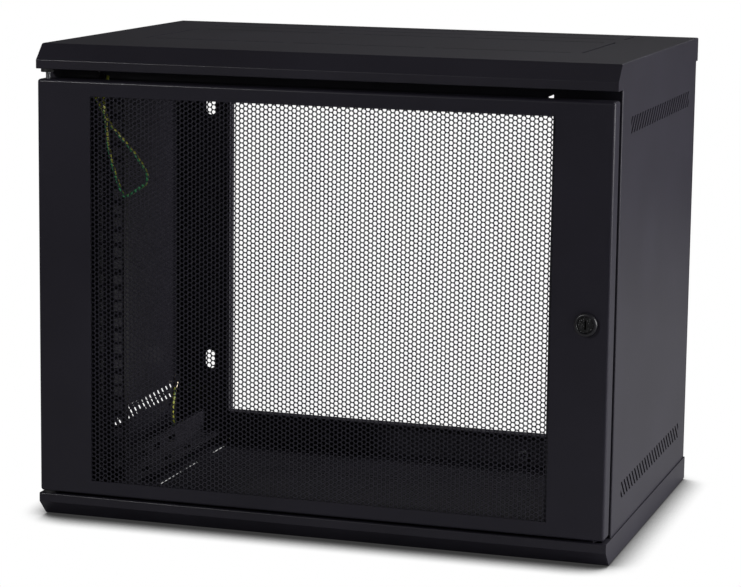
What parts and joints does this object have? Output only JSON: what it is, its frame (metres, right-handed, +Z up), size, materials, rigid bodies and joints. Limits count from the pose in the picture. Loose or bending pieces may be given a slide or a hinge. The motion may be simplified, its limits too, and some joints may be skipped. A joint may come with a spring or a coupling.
{
  "type": "wall mount network cabinet",
  "caption": "Wall-mounted steel cabinet for 19-inch network equipment, with a lockable perforated front door, slotted wall-mount holes and side vents.",
  "frame": {"origin": "on the underside of the base, below the middle of the whole cabinet, lock rim included", "axes": "+X to the right seen from the front, +Y towards the wall, +Z up"},
  "size_m": [0.6, 0.407, 0.49],
  "materials": {
    "case_paint": "fine-textured black powder coat",
    "door_paint": "fine-textured black powder coat",
    "zinc": "zinc plated",
    "lock_black": "black, semi-gloss",
    "lock_plug": "blackened nickel",
    "nylon": "moulded",
    "tinned_copper": "tinned",
    "lead_sleeve": "green and yellow striped"
  },
  "bodies": {
    "case": {"base_tray": "case_paint", "top_cover": "case_paint", "right_side_panel": "case_paint", "left_side_panel": "case_paint", "rear_frame": "case_paint", "front_bottom_rail": "case_paint", "front_top_rail": "case_paint", "depth_bracket_lower_left": "case_paint", "depth_bracket_lower_right": "case_paint", "depth_bracket_upper_left": "case_paint", "depth_bracket_upper_right": "case_paint", "rack_rail_right": "case_paint", "rack_rail_left": "case_paint", "hinge_bush_upper": "nylon", "hinge_bush_lower": "nylon", "tray_nuts": "zinc", "rear_frame_nuts": "zinc", "bracket_bolts": "zinc", "bracket_nuts": "zinc", "rail_bolts": "zinc", "rail_nuts": "zinc", "ring_terminals": "tinned_copper", "earth_nuts": "zinc", "earth_lead_front": "lead_sleeve", "earth_lead_rear": "lead_sleeve"},
    "door": {"door_frame": "door_paint", "door_mesh": "door_paint", "lower_hinge_pin": "zinc", "plunger_guide": "zinc", "plunger_spring": "zinc", "lock_housing": "lock_black", "lock_nut": "zinc"},
    "hinge_pin": {"hinge_plunger": "zinc"},
    "lock": {"lock_plug": "lock_plug", "lock_cam": "zinc", "cam_nut": "zinc"}
  },
  "joints": [
    {"name": "door_swing", "type": "hinge", "parent": "case", "child": "door", "pos_m": [-0.29, -0.1885, 0], "axis": [0, 0, -1], "range_deg": [0, 180]},
    {"name": "hinge_pin_slide", "type": "slide", "parent": "door", "child": "hinge_pin", "axis": [0, 0, -1], "range_m": [0, 0.012], "stiffness_N_per_m": 400, "springref_m": -0.01, "deforming": ["plunger_spring"]},
    {"name": "lock_turn", "type": "hinge", "parent": "door", "child": "lock", "pos_m": [0.275, -0.1985, 0.241], "axis": [0, 1, 0], "range_deg": [0, 90]}
  ]
}
